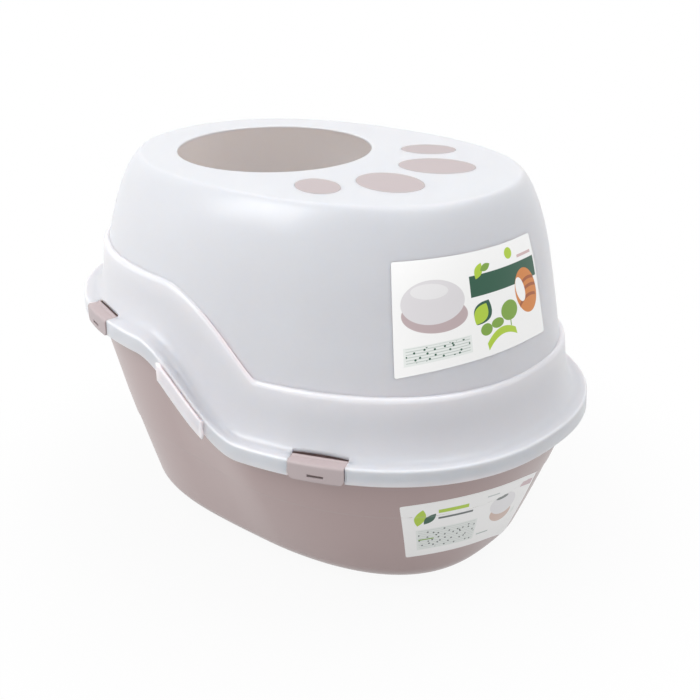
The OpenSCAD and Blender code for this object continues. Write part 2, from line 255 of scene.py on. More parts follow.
class GeometryTree(Nodes):
    """A Geometry Nodes tree with named inputs, which ends in one material on real geometry."""

    def __init__(self, name: str, sizes: dict[str, float]) -> None:
        """Makes the tree and its interface.

        Args:
            name: the tree's name.
            sizes: the named inputs and their values.
        """
        super().__init__(bpy.data.node_groups.new(name, "GeometryNodeTree"))
        face = self.tree.interface
        for way in ("INPUT", "OUTPUT"):
            face.new_socket("Geometry", in_out=way, socket_type="NodeSocketGeometry")
        kinds = {**dict.fromkeys(sizes, "Float"), "Finish": "Material", "Wall": "Object"}
        self.keys = {
            key: face.new_socket(key, in_out="INPUT", socket_type=f"NodeSocket{kind}").identifier
            for key, kind in kinds.items()
        }
        self.sizes = sizes
        self.start = self.tree.nodes.new("NodeGroupInput")

    def size(self, name: str) -> Number:
        """A named input."""
        return self.number(self.start.outputs[name])

    def stored(self, name: str) -> Number:
        """A number that the start mesh stores at each point."""
        node = self.add("GeometryNodeInputNamedAttribute", {"data_type": "FLOAT"}, Name=name)
        return self.number(node.outputs["Attribute"])

    def end(self, place: NodeSocket) -> None:
        """Closes the tree: the points moved to a place, instances made real, then the finish."""
        start = self.start.outputs
        moved = self.add("GeometryNodeSetPosition", Geometry=start["Geometry"], Position=place)
        real = self.add("GeometryNodeRealizeInstances", Geometry=moved.outputs[0])
        dressed = self.add("GeometryNodeSetMaterial", Geometry=real.outputs[0], Material=start["Finish"])
        self.tree.links.new(dressed.outputs[0], self.tree.nodes.new("NodeGroupOutput").inputs[0])

    def applied(self, start: Object, finish: Material, wall: Object | None = None) -> None:
        """Runs the tree on an object and keeps the result as its plain mesh.

        Args:
            start: the object that carries the start mesh.
            finish: the material of the result.
            wall: the surface that the tree reads, if it does.
        """
        modifier = start.modifiers.new("shape", "NODES")
        modifier.node_group = self.tree
        for key, value in {**self.sizes, "Finish": finish, "Wall": wall}.items():
            if value is not None:
                modifier[self.keys[key]] = value
        settle(start)


def named(owner: object, names: list[str], start: str = "") -> dict[str, float]:
    """Fields as named inputs, such as "Dome inset" for dome_inset.

    Args:
        owner: the dataclass that has the fields.
        names: the fields' names.
        start: what each input's name starts with.

    Returns:
        The inputs' names and values.
    """
    return {(start + name).replace("_", " ").capitalize(): getattr(owner, name) for name in names}


# ---- Meshes ----


def new_object(name: str, data: bpy.types.ID) -> Object:
    """An object at the origin that carries a mesh, a camera or a lamp."""
    made = bpy.data.objects.new(name, data)
    bpy.context.scene.collection.objects.link(made)
    return made


def modify(piece: Object, kind: str, **settings: object) -> None:
    """Gives a piece a modifier with its settings."""
    modifier = piece.modifiers.new(kind.lower(), kind)
    for name, value in settings.items():
        setattr(modifier, name, value)


def settle(piece: Object) -> None:
    """Replaces an object's mesh by what its modifiers make of it, and drops the modifiers."""
    bpy.context.view_layer.update()
    evaluated = piece.evaluated_get(bpy.context.evaluated_depsgraph_get())
    mesh = bpy.data.meshes.new_from_object(evaluated)
    piece.modifiers.clear()
    piece.data = mesh


def skin_faces(rings: int, around: int, looped: bool) -> list[tuple[int, ...]]:
    """Faces of a skin of rings.

    Args:
        rings: number of rings.
        around: number of points in each ring.
        looped: joins the last ring to the first, where otherwise both ends are filled in.

    Returns:
        The faces as rows of point numbers, which face outwards where the rings run
        anticlockwise and each ring lies above the one before it.
    """
    faces: list[tuple[int, ...]] = []
    for j in range(rings if looped else rings - 1):
        low, high = j * around, ((j + 1) % rings) * around
        for i in range(around):
            k = (i + 1) % around
            faces.append((low + i, low + k, high + k, high + i))
    if not looped:
        faces.append(tuple(range(around - 1, -1, -1)))
        faces.append(tuple((rings - 1) * around + i for i in range(around)))
    return faces


def skin_mesh(name: str, rings: list[np.ndarray], looped: bool = False) -> Mesh:
    """A mesh between rings of points.

    Args:
        name: the mesh's name.
        rings: the rings, each with the same number of points.
        looped: joins the last ring to the first.

    Returns:
        The mesh.
    """
    mesh = bpy.data.meshes.new(name)
    points = np.concatenate(rings)
    mesh.from_pydata(points.tolist(), [], skin_faces(len(rings), len(rings[0]), looped))
    mesh.update()
    return mesh


def turned_out(mesh: Mesh) -> Mesh:
    """The same mesh with its faces turned outwards, found by its signed volume."""
    mesh.calc_loop_triangles()
    points = np.array([v.co for v in mesh.vertices])
    corners = points[np.array([t.vertices for t in mesh.loop_triangles])]
    volume = np.einsum("ij,ij->i", corners[:, 0], np.cross(corners[:, 1], corners[:, 2])).sum()
    if volume < 0:
        mesh.flip_normals()
    return mesh
def solid(name: str, rings: list[np.ndarray], place: Matrix | None = None) -> Object:
    """A closed solid between rings of points.

    Args:
        name: its name.
        rings: the rings, each with the same number of points.
        place: the frame in which they are given, if it isn't the model's.

    Returns:
        The solid.
    """
    mesh = turned_out(skin_mesh(name, rings))
    if place is not None:
        mesh.transform(place)
    return new_object(name, mesh)


def combined(base: Object, others: list[Object], operation: str) -> None:
    """Adds solids to a piece or cuts them from it, and removes them.

    Args:
        base: the piece.
        others: the solids.
        operation: UNION or DIFFERENCE.
    """
    for other in others:
        modify(base, "BOOLEAN", operation=operation, solver="MANIFOLD", object=other)
    settle(base)
    for other in others:
        bpy.data.objects.remove(other)


def smoothed(piece: Object, sharp_angle: float) -> None:
    """Smooth shading, with edges over an angle in degrees kept sharp and flat faces kept flat."""
    piece.data.shade_smooth()
    piece.data.set_sharp_from_angle(angle=math.radians(sharp_angle))
    modify(piece, "WEIGHTED_NORMAL", keep_sharp=True, weight=60)


@dataclass(frozen=True)
class Level:
    """One level of the hood's skin, between the rim's oval and the dome's."""

    rim_inset: float = 0.0
    rim_up: float = 0.0
    out: float = 0.0
    rise: float = 0.0
    dome_inset: float = 0.0
    ledge: float = 0.0
    climb: float = 0.0
    up: float = 0.0
    drop: float = 0.0
    entry: float = 0.0


@dataclass(frozen=True)
class TrayLevel:
    """One level of the tray's skin, between the foot's oval and the rim's."""

    inset: float = 0.0
    rim_inset: float = 0.0
    height: float = 0.0
    up: float = 0.0
    at_rim: float = 0.0


def start_mesh(name: str, levels: list[Level] | list[TrayLevel], looped: bool) -> Mesh:
    """The start mesh of a skin, which stores each point's station angle and its level's values.

    Args:
        name: the mesh's name.
        levels: the levels, in order round the section.
        looped: joins the last level to the first.

    Returns:
        The mesh.
    """
    mesh = skin_mesh(name, [np.zeros((STATIONS, 3))] * len(levels), looped)
    turn = np.tile(stations(), len(levels))
    mesh.attributes.new("turn", "FLOAT", "POINT").data.foreach_set("value", turn)
    for item in fields(levels[0]):
        values = np.repeat([getattr(level, item.name) for level in levels], STATIONS)
        mesh.attributes.new(item.name, "FLOAT", "POINT").data.foreach_set("value", values)
    return mesh


def rounding(radius: float, angles: list[float]) -> list[tuple[float, float]]:
    """Distances of a quarter round from the two lines that it joins, for angles from one of them."""
    return [(radius * (1 - math.cos(a)), radius * (1 - math.sin(a))) for a in angles]


def stations() -> np.ndarray:
    """Station angles round an oval, crowded to the sides, where the rim rises."""
    even = 2 * math.pi * np.arange(STATIONS) / STATIONS
    return even + CROWDING * np.sin(2 * even)


# ---- Finishes ----


def new_material(name: str) -> tuple[Material, Nodes, Node]:
    """A material, its nodes and its Principled shader."""
    material = bpy.data.materials.new(name)
    material.use_nodes = True
    return material, Nodes(material.node_tree), material.node_tree.nodes["Principled BSDF"]


@dataclass(frozen=True)
class MouldedPlastic:
    """A moulded plastic: slow flow marks in its colour, fine grain, dust, and light that spreads in it."""

    name: str
    colour: Colour
    flow_colour: Colour
    roughness: tuple[float, float]
    grain_size: float
    grain_depth: float
    ripple_depth: float = 0.0
    glow: float = 0.0
    glow_reach: float = 3 * MM
    glow_tint: Colour = (1.0, 0.86, 0.76)
    coat: float = 0.0
    coat_roughness: float = 0.12
    dust: float = 0.0
    dust_colour: Colour = (0.72, 0.68, 0.66)
    dust_scale: float = 420.0
    dust_size: float = 0.16
    dust_threshold: float = 0.56
    flow_scale: float = 7.0
    ripple_scale: float = 22.0

    def build(self) -> Material:
        """The material, from its nodes."""
        material, nodes, shader = new_material(self.name)
        place = nodes.add("ShaderNodeTexCoord").outputs["Object"]
        flow = nodes.noise(place, Scale=self.flow_scale, Detail=3.0, Roughness=0.55, Distortion=0.6)
        fine = nodes.noise(place, Scale=1 / self.grain_size, Detail=4.0, Roughness=0.6)
        colour = nodes.ramp(flow, (0.3, self.flow_colour), (0.7, self.colour))
        if self.dust > 0:
            speck = nodes.cells(place, self.dust_scale).math("LESS_THAN", self.dust_size)
            fleck = speck * fine.math("GREATER_THAN", self.dust_threshold)
            colour = nodes.tinted(colour, self.dust_colour, fleck * self.dust, "MULTIPLY")
        low, high = self.roughness
        height = fine * self.grain_depth
        if self.ripple_depth > 0:
            ripple = nodes.noise(place, Scale=self.ripple_scale, Detail=1.0)
            height = height + ripple * self.ripple_depth
        nodes.fill(
            shader, Base_Color=colour, Roughness=low + (flow * 0.6 + fine * 0.4) * (high - low),
            Normal=nodes.bump(height), Subsurface_Weight=self.glow, Subsurface_Radius=self.glow_tint,
            Subsurface_Scale=self.glow_reach, Coat_Weight=self.coat,
            Coat_Roughness=self.coat_roughness,
        )
        return material


HOOD_PLASTIC = MouldedPlastic(
    "hood plastic", (0.975, 0.824, 0.848), (0.965, 0.81, 0.836), roughness=(0.26, 0.34),
    grain_size=0.9 * MM, grain_depth=0.004 * MM, ripple_depth=0.05 * MM, glow=1.0, glow_reach=16 * MM,
    coat=0.1,
)
TRAY_PLASTIC = MouldedPlastic(
    "tray plastic", (0.40, 0.30, 0.293), (0.38, 0.282, 0.275), roughness=(0.34, 0.46),
    grain_size=0.7 * MM, grain_depth=0.02 * MM, ripple_depth=0.04 * MM, coat=0.35, dust=0.25,
)
TRIM_PLASTIC = MouldedPlastic(
    "trim plastic", (0.44, 0.375, 0.38), (0.425, 0.36, 0.365), roughness=(0.36, 0.5),
    grain_size=0.6 * MM, grain_depth=0.015 * MM, glow=0.05, glow_reach=2 * MM, dust=0.2,
)


# ---- Shapes that the shells share ----


def oval_at(
    tree: Nodes, turn: Number, length: Number, width: Number, squareness: Number
) -> tuple[Number, Number]:
    """Nodes for a point of an oval, with half-axes length and width, at a station angle."""
    exponent = 2.0 / squareness
    return length * turn.math("COSINE").power(exponent), width * turn.math("SINE").power(exponent)


def signed_power(value: np.ndarray | float, exponent: float) -> np.ndarray | float:
    """A value's size to a power, with its sign kept."""
    return np.sign(value) * np.abs(value) ** exponent


@dataclass(frozen=True)
class Rim:
    """The rim that both shells follow: an oval that rises from the low end to the high end."""

    length: float = 570 * MM
    width: float = 427 * MM
    squareness: float = 2.31
    low_height: float = 156 * MM
    rise: float = 76 * MM
    rise_run: float = 135 * MM
    rise_middle: float = 2 * MM

    def sizes(self) -> dict[str, float]:
        """The rim's named inputs for a node tree."""
        return named(self, [item.name for item in fields(self)], "rim_")

    def oval(self, turn: np.ndarray | float, inset: float) -> np.ndarray:
        """Points of the rim's oval, moved inwards."""
        exponent = 2 / self.squareness
        return np.stack([
            (self.length / 2 - inset) * signed_power(np.cos(turn), exponent),
            (self.width / 2 - inset) * signed_power(np.sin(turn), exponent),
        ], axis=-1)

    def height(self, turn: np.ndarray | float) -> np.ndarray:
        """Heights of the lip's lower edge."""
        x = self.oval(turn, 0.0)[..., 0]
        share = np.clip((self.rise_middle + self.rise_run / 2 - x) / self.rise_run, 0, 1)
        return self.low_height + self.rise * share * share * (3 - 2 * share)

    def at(self, turn: float, inset: float, up: float) -> np.ndarray:
        """A point at a distance inwards from the lip's face and a height above its lower edge."""
        return np.append(self.oval(turn, inset), self.height(turn) + up)

    def turn_at(self, x: float, y_side: int) -> float:
        """The station angle at a distance along the box, on one side of it."""
        turn = math.acos((abs(x) * 2 / self.length) ** (self.squareness / 2))
        return y_side * (turn if x >= 0 else math.pi - turn)

    def facing(self, turn: float) -> float:
        """The direction in which the lip faces, as an angle in plan."""
        x, y = self.oval(turn, 0.0)
        a, b = self.length / 2, self.width / 2
        power = self.squareness - 1
        return math.atan2(signed_power(y / b, power) / b, signed_power(x / a, power) / a)

    def nodes(self, tree: GeometryTree, inset: Number, up: Number) -> tuple[Number, Number, Number]:
        """Nodes for points on the rim, as in at()."""
        size, stored = tree.size, tree.stored
        turn = stored("turn")
        half_length, half_width = size("Rim length") / 2.0, size("Rim width") / 2.0
        squareness = size("Rim squareness")
        x, y = oval_at(tree, turn, half_length - inset, half_width - inset, squareness)
        edge_x, _ = oval_at(tree, turn, half_length, half_width, squareness)
        run = size("Rim rise run")
        risen = ((size("Rim rise middle") + run / 2.0 - edge_x) / run).smooth()
        return x, y, risen * size("Rim rise") + size("Rim low height") + up


@dataclass(frozen=True)
class Clips:
    """Where the four clips sit, and the room that the hood leaves them.

    The lip's height here is the CAD lip's, to which the clips were made.
    """

    width: float = 55 * MM
    distance: float = 150 * MM
    gap: float = 0.4 * MM
    hinge_inset: float = 13 * MM
    hinge_height: float = 15.1 * MM
    barrel_radius: float = 2.3 * MM
    barrel_gap: float = 1 * MM
    notch_rise: float = 7 * MM
    pin_radius: float = 1.47 * MM
    bore_depth: float = 4.2 * MM
    knuckle_end: float = 0.8 * MM
    knuckle_radius: float = 2.1 * MM
    lip_height: float = 15.5 * MM
    edge_round: float = 0.35 * MM
    reach: float = 30 * MM

    def place(self, rim: Rim, x_side: int, y_side: int) -> Matrix:
        """The frame of one clip, on the lip's lower edge: x along the rim, y outwards, z up."""
        turn = rim.turn_at(x_side * self.distance, y_side)
        return Matrix.Translation(Vector(rim.at(turn, 0.0, 0.0))) @ Matrix.Rotation(
            rim.facing(turn) - math.pi / 2, 4, "Z"
        )

    def rods(self, name: str, rim: Rim, end: float, radius: float) -> list[Object]:
        """Round rods on the four hinge lines.

        Args:
            name: start of the rods' names.
            rim: the rim.
            end: how far they reach into the hood at each end of a clip.
            radius: their radius.

        Returns:
            The rods.
        """
        around = 2 * math.pi * np.arange(ROD_SIDES) / ROD_SIDES
        y, z = radius * np.cos(around) - self.hinge_inset, radius * np.sin(around) + self.hinge_height
        ring = np.stack([np.zeros(ROD_SIDES), y, z], axis=1)
        shift = np.array([(self.width + 2 * (self.gap + end)) / 2, 0, 0])
        return [
            solid(f"{name}_{i}", [ring - shift, ring + shift], self.place(rim, *sides))
            for i, sides in enumerate(SIDES)
        ]

    def notch(self, name: str, place: Matrix) -> Object:
        """The block that is cut from the hood for a clip."""
        half = self.width / 2 + self.gap
        back = -(self.hinge_inset + self.barrel_radius + self.barrel_gap)
        corners = np.array([(-half, back), (half, back), (half, self.reach), (-half, self.reach)])
        heights = (-self.reach, self.lip_height + self.notch_rise)
        return solid(name, [np.column_stack([corners, np.full(4, z)]) for z in heights], place)

    def knuckles(self, rim: Rim) -> list[Object]:
        """The knuckles in the hood's flange."""
        return self.rods("knuckle", rim, self.bore_depth + self.knuckle_end, self.knuckle_radius)

    def room(self, rim: Rim) -> list[Object]:
        """The notches and blind pin bores that are cut from the hood."""
        notches = [self.notch(f"notch_{i}", self.place(rim, *sides)) for i, sides in enumerate(SIDES)]
        return notches + self.rods("bore", rim, self.bore_depth, self.pin_radius)

    def build(self, finish: Material) -> None:
        """Softens the edges of the clips as moulded, and dresses them."""
        for body in (Body.FRONT_RIGHT, Body.FRONT_LEFT, Body.REAR_RIGHT, Body.REAR_LEFT):
            clip = softened(body.value, f"{body.value}_moulded", self.edge_round)
            dress(clip, finish, body, Slot.TRIM, body.value)


SIDES = [(1, -1), (1, 1), (-1, -1), (-1, 1)]


def softened(node: str, name: str, radius: float) -> Object:
    """A copy of a CAD node with its points merged and its edges rounded.

    Args:
        node: the CAD node.
        name: the copy's name.
        radius: width of the rounding.

    Returns:
        The copy.
    """
    made = new_object(name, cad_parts[node].data.copy())
    made.data.materials.clear()
    modify(made, "WELD", merge_threshold=MERGE_DISTANCE)
    modify(made, "DECIMATE", decimate_type="DISSOLVE", angle_limit=FLAT_ANGLE)
    settle(made)
    modify(made, "BEVEL", width=radius, segments=3, limit_method="ANGLE", angle_limit=EDGE_ANGLE)
    settle(made)
    smoothed(made, DETAIL_SHARP)
    return made


def moulded(name: str, levels: list[Level] | list[TrayLevel], tree: GeometryTree, finish: Material) -> Object:
    """A shell, moulded from its levels by the rule of its shape.

    Args:
        name: its name.
        levels: its levels; the hood's are a closed loop.
        tree: the rule.
        finish: its material.

    Returns:
        The shell.
    """
    piece = new_object(name, start_mesh(name, levels, looped=isinstance(levels[0], Level)))
    tree.applied(piece, finish)
    turned_out(piece.data)
    return piece


def dress(piece: Object, finish: Material, body: Body, slot: Slot, *nodes: str) -> None:
    """Gives a piece its finish and its body, and hides the CAD nodes that it stands for."""
    piece.data.materials.clear()
    piece.data.materials.append(finish)
    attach(piece, body.value)
    if nodes:
        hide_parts(*nodes)
    log.info("%s: %d faces", piece.name, len(piece.data.polygons))


# ---- Hood ----


@dataclass(frozen=True)
class Toe:
    """One toe of the paw print, as places and sizes in the flat top's clear half length and width."""

    node: str
    x: float
    y: float
    length: float
    width: float
    turn: float


TOES = [
    Toe("outer_right_toe", 0.418, -0.784, 0.167, 0.182, -25),
    Toe("inner_right_toe", 0.691, -0.336, 0.227, 0.258, -16),
    Toe("inner_left_toe", 0.691, 0.336, 0.227, 0.258, 16),
    Toe("outer_left_toe", 0.418, 0.784, 0.167, 0.182, 25),
]


@dataclass
class Hood:
    """The domed hood: lip, flange, hollow, bead, wall, shoulder and flat top with its entry."""

    rim: Rim
    clips: Clips
    height: float = 395 * MM
    wall: float = 2.4 * MM
    lip_height: float = 16.8 * MM
    lip_round: float = 2.2 * MM
    lip_draft: float = 0.4 * MM
    edge_round: float = 0.6 * MM
    dome_inset: float = 27 * MM
    dome_shift: float = 1.5 * MM
    dome_squareness: float = 2.22
    dome_lean: float = 27.5 * MM
    lean_follow: float = 0.77
    shoulder_rise: float = 78 * MM
    shoulder_run: float = 17 * MM
    bead_height: float = 75 * MM
    bead_rise: float = 74 * MM
    bead_run: float = 118 * MM
    bead_start: float = 67 * MM
    bead_bend: float = 0.64
    bead_squareness: float = 2.31
    bead_width: float = 3 * MM
    bead_drop: float = 5 * MM
    flare_tightness: float = 3.9
    flare_lean: float = 0.2
    print_end_margin: float = 42.5 * MM
    print_side_margin: float = 31.5 * MM
    entry_x: float = -0.386
    entry_length: float = 0.615
    entry_width: float = 0.892
    inlay_depth: float = 1.4 * MM
    inlay_ledge: float = 3 * MM
    inlay_gap: float = 0.15 * MM
    grip_length: float = 57 * MM
    grip_proud: float = 4.2 * MM
    grip_wall: float = 2.4 * MM
    grip_drop: float = 3.5 * MM
    grip_bow: float = 2 * MM
    grip_end: float = 3 * MM
    piece: Object | None = field(default=None, init=False)

    @property
    def print_half(self) -> tuple[float, float]:
        """Half length and half width of the paw print's place on the flat top."""
        lean = self.dome_inset + self.dome_lean + self.shoulder_run
        return (
            self.rim.length / 2 - lean - self.print_end_margin,
            self.rim.width / 2 - lean - self.print_side_margin,
        )

    def flare(self, angle: float, depth: float) -> Level:
        """A level on the hollow: 90 degrees is the flange's edge and 0 the wall under the bead."""
        exponent = 2 / self.flare_tightness
        sine, cosine = math.sin(math.radians(angle)), max(0.0, math.cos(math.radians(angle)))
        width = self.dome_inset - self.bead_width - self.lip_draft - self.lip_round
        lie = math.atan2(width * sine, (self.bead_height - self.bead_drop - self.lip_height) * cosine)
        inward, rise = depth * math.cos(lie), 1 - sine**exponent
        return Level(
            rim_inset=self.lip_draft + self.lip_round + inward, rim_up=self.lip_height,
            out=cosine**exponent * (1 - self.flare_lean * (1 - rise)), rise=rise,
            dome_inset=inward - self.bead_width, ledge=1.0, up=-self.bead_drop, drop=depth * math.sin(lie),
        )

    def lip(self, inset: float, up: float) -> Level:
        """A level on the lip."""
        return Level(rim_inset=inset, rim_up=up)

    def dome(self, inset: float, up: float, climb: float = 0.0) -> Level:
        """A level on the dome, part of the way from the bead at 0 to the shoulder's base at 1."""
        return Level(out=1.0, rise=1.0, dome_inset=inset, up=up, climb=climb)

    def ledge(self, inset: float, up: float) -> Level:
        """A level on the bead's ledge."""
        return Level(out=1.0, rise=1.0, dome_inset=inset, ledge=1.0, up=up)

    def shoulder(self, angle: float, depth: float) -> Level:
        """A level on the shoulder: 0 degrees is its base and 90 the flat top."""
        sine, cosine = math.sin(math.radians(angle)), math.cos(math.radians(angle))
        lie = math.atan2(self.shoulder_run * sine, self.shoulder_rise * cosine)
        return self.dome(
            self.shoulder_run * (1 - cosine) + depth * math.cos(lie),
            self.shoulder_rise * sine - depth * math.sin(lie), 1.0,
        )

    def entry(self, grow: float, up: float) -> Level:
        """A level on the entry's edge, up from the flat top."""
        return Level(rim_inset=grow, up=up, entry=1.0)

    def levels(self) -> list[Level]:
        """Every level, from the lip's lower edge up the outside and down the inside."""
        low, lip, half, draft = self.edge_round, self.lip_round, self.wall / 2, self.lip_draft
        under = self.lip_height - self.wall
        quarter = [math.radians(a) for a in range(0, 91, 15)]
        levels = [self.lip(inset, up) for up, inset in rounding(low, quarter)]
        levels += [self.lip(draft + x, self.lip_height - z) for x, z in rounding(lip, quarter[:-1])]
        levels += [self.flare(90 * (1 - k / 24), 0) for k in range(25)]
        levels += [
            self.ledge(-self.bead_width * math.cos(a), -self.bead_drop * (1 - math.sin(a)))
            for a in quarter[1:-1]
        ]
        levels += [self.dome(-0.6 * MM, 0.02 * MM), self.dome(-0.15 * MM, 0.2 * MM), self.dome(0, 0.9 * MM)]
        levels += [self.dome(0, 0, k / 10) for k in range(1, 10)]
        levels += [self.shoulder(90 * k / 24, 0) for k in range(25)]
        levels += [self.dome(self.shoulder_run + 1.5 * MM, self.shoulder_rise, 1.0)]
        levels += [self.entry(grow, -down) for down, grow in rounding(half, quarter)]
        levels += [self.entry(0.0, -self.wall)]
        levels += [self.shoulder(90 * k / 12, self.wall) for k in range(12, -1, -1)]
        levels += [self.dome(self.wall, 0, k / 3) for k in (2, 1, 0)]
        levels += [self.ledge(self.wall - 0.7 * self.bead_width, -0.35 * self.bead_drop - self.wall)]
        levels += [self.flare(90 * (1 - k / 12), self.wall) for k in range(11, -1, -1)]
        levels += [self.lip(self.wall + draft, under - 1.2 * MM), self.lip(self.wall, low)]
        levels += [self.lip(self.wall - low * 0.3, low * 0.3), self.lip(self.wall - low, 0)]
        return levels

    def tree(self) -> GeometryTree:
        """The rule of the hood's shape, as Geometry Nodes."""
        a, b = self.print_half
        sizes = {
            **self.rim.sizes(),
            **named(self, [
                "height", "dome_inset", "dome_shift", "dome_squareness", "dome_lean", "lean_follow",
                "shoulder_rise", "bead_height", "bead_rise", "bead_run", "bead_start", "bead_bend",
                "bead_squareness",
            ]),
            "Entry length": a * self.entry_length,
            "Entry width": b * self.entry_width,
            "Entry place": a * self.entry_x - self.dome_shift,
        }
        tree = GeometryTree("Hood skin", sizes)
        size, stored = tree.size, tree.stored
        turn, up = stored("turn"), stored("up")
        low = self.rim.nodes(tree, stored("rim_inset"), stored("rim_up"))

        squareness, shift = size("Dome squareness"), size("Dome shift")
        dome_length = size("Rim length") / 2.0 - size("Dome inset")
        dome_width = size("Rim width") / 2.0 - size("Dome inset")
        edge_x, _ = oval_at(tree, turn, dome_length, dome_width, squareness)
        base = size("Rim low height") + size("Bead height")
        climbed = ((size("Bead start") - edge_x + shift) / size("Bead run")).math("MAXIMUM", 0.0)
        risen = climbed.math("MINIMUM", 1.0).math("POWER", size("Bead bend")).smooth()
        bead = base + size("Bead rise") * risen
        top_base = size("Height") - size("Shoulder rise")
        z = bead.mix(top_base, stored("climb")) + up
        foot = base.mix(bead, size("Lean follow"))
        share = (z - foot) / (size("Height") - foot)
        leaned = share * 0.8 + share * share.math("ABSOLUTE") * 0.2
        inset = stored("dome_inset") + size("Dome lean") * leaned
        here = squareness.mix(size("Bead squareness"), stored("ledge"))
        x, y = oval_at(tree, turn, dome_length - inset, dome_width - inset, here)
        x = x - shift

        out, rise, entry = stored("out"), stored("rise"), stored("entry")
        grow = stored("rim_inset")
        ring_x = size("Entry place") + (size("Entry length") + grow) * turn.math("COSINE")
        ring_y = (size("Entry width") + grow) * turn.math("SINE")
        tree.end(tree.xyz(
            low[0].mix(x, out).mix(ring_x, entry),
            low[1].mix(y, out).mix(ring_y, entry),
            (low[2].mix(z, rise) - stored("drop")).mix(size("Height") + up, entry),
        ))
        return tree

    def grip_section(self, turn: float, drop: float, is_open: bool) -> np.ndarray:
        """Section of a side grip, which stands off the lip and is joined to it along its foot.

        Args:
            turn: the station angle.
            drop: how far it reaches below the lip.
            is_open: leaves a slot behind its wall.

        Returns:
            The section's points.
        """
        overlap, edge, foot = 1 * MM, 1 * MM, 3 * MM
        top, face = self.lip_height - 1 * MM, self.grip_proud
        back = self.grip_wall - face if is_open else overlap
        arc = [math.radians(a) for a in range(0, 91, 18)]
        section = [(overlap, 0.4 * MM), (self.grip_wall - face, -drop)]
        section += [(inset - face, up - drop) for up, inset in rounding(edge, arc)]
        section += [(inset - face, top - down) for inset, down in rounding(edge, arc)]
        section += [
            (back, top if is_open else top - 2 * MM),
            (back, foot if is_open else top - 2.5 * MM),
            (overlap, foot),
        ]
        return np.array([self.rim.at(turn, inset, up) for inset, up in section])

    def grips(self) -> list[Object]:
        """The side grips."""
        half = self.grip_length / 2
        slot = half - self.grip_end
        places = [-half, -slot - 0.1 * MM, *np.linspace(-slot, slot, 25), slot + 0.1 * MM, half]
        made = []
        for y_side in (-1, 1):
            rings = []
            for x in places:
                drop = self.grip_drop + self.grip_bow * (1 - (x / half) ** 2)
                rings.append(self.grip_section(self.rim.turn_at(x, y_side), drop, abs(x) <= slot + TINY))
            made.append(solid(f"grip_{y_side}", rings))
        return made

    def toe_ring(self, toe: Toe, grow: float, z: float, count: int = 96) -> np.ndarray:
        """A ring of a toe's outline, grown by a distance, at a height."""
        a, b = self.print_half
        around = 2 * math.pi * np.arange(count) / count
        x = (a * toe.length + grow) * np.cos(around)
        y = (b * toe.width + grow) * np.sin(around)
        cosine, sine = math.cos(math.radians(toe.turn)), math.sin(math.radians(toe.turn))
        return np.stack([
            x * cosine - y * sine + a * toe.x - self.dome_shift,
            x * sine + y * cosine + b * toe.y,
            np.full(count, z),
        ], axis=1)

    def recess(self, toe: Toe) -> Object:
        """The solid that is cut from the flat top for a toe, with the recess's edge rounded."""
        top, floor, edge = self.height, self.height - self.inlay_depth, 0.35 * MM
        return solid(f"recess_{toe.node}", [self.toe_ring(toe, grow, z) for grow, z in (
            (-self.inlay_ledge, top - self.wall - 1 * MM),
            (-self.inlay_ledge, floor),
            (0, floor),
            (0, top - edge),
            (0.3 * edge, top - 0.3 * edge),
            (edge, top + 0.02 * MM),
            (edge, top + 5 * MM),
        )])

    def build(self, finish: Material) -> None:
        """Makes the hood and dresses it."""
        self.piece = moulded("hood_shell", self.levels(), self.tree(), finish)
        combined(self.piece, self.grips() + self.clips.knuckles(self.rim), "UNION")
        combined(self.piece, self.clips.room(self.rim) + [self.recess(toe) for toe in TOES], "DIFFERENCE")
        smoothed(self.piece, SHELL_SHARP)
        dress(self.piece, finish, Body.HOOD, Slot.HOOD, "hood")


@dataclass
class Inlays:
    """The four toe inlays: crowned discs set flush in the flat top, each on its collar."""

    hood: Hood
    crown: float = 0.12 * MM
    edge: float = 0.3 * MM
    collar_length: float = 5 * MM
    collar_wall: float = 1.6 * MM
    flat_middle: float = 4 * MM

    def build(self, finish: Material) -> None:
        """Makes the inlays and dresses them."""
        hood, edge, crown = self.hood, self.edge, self.crown
        gap, ledge, top = hood.inlay_gap, hood.inlay_ledge + hood.inlay_gap, hood.height
        floor = top - hood.inlay_depth
        low = floor - self.collar_length
        a, b = hood.print_half
        for toe in TOES:
            reach = min(a * toe.length, b * toe.width) - self.flat_middle
            profile = [
                (-ledge - self.collar_wall, floor),
                (-ledge - self.collar_wall, low),
                (-ledge, low),
                (-ledge, floor),
                (-gap, floor),
                (-gap, top - edge - crown),
                (-gap - 0.3 * edge, top - 0.3 * edge - crown),
                (-gap - edge, top - crown),
            ]
            profile += [
                (-gap - edge - reach * share, top - crown * (1 - share) ** 2)
                for share in (0.15, 0.35, 0.6, 0.85, 1.0)
            ]
            inlay = solid(f"{toe.node}_inlay", [hood.toe_ring(toe, grow, z) for grow, z in profile])
            smoothed(inlay, INLAY_SHARP)
            dress(inlay, finish, Body.HOOD, Slot.TRIM, toe.node)


# ---- Tray ----


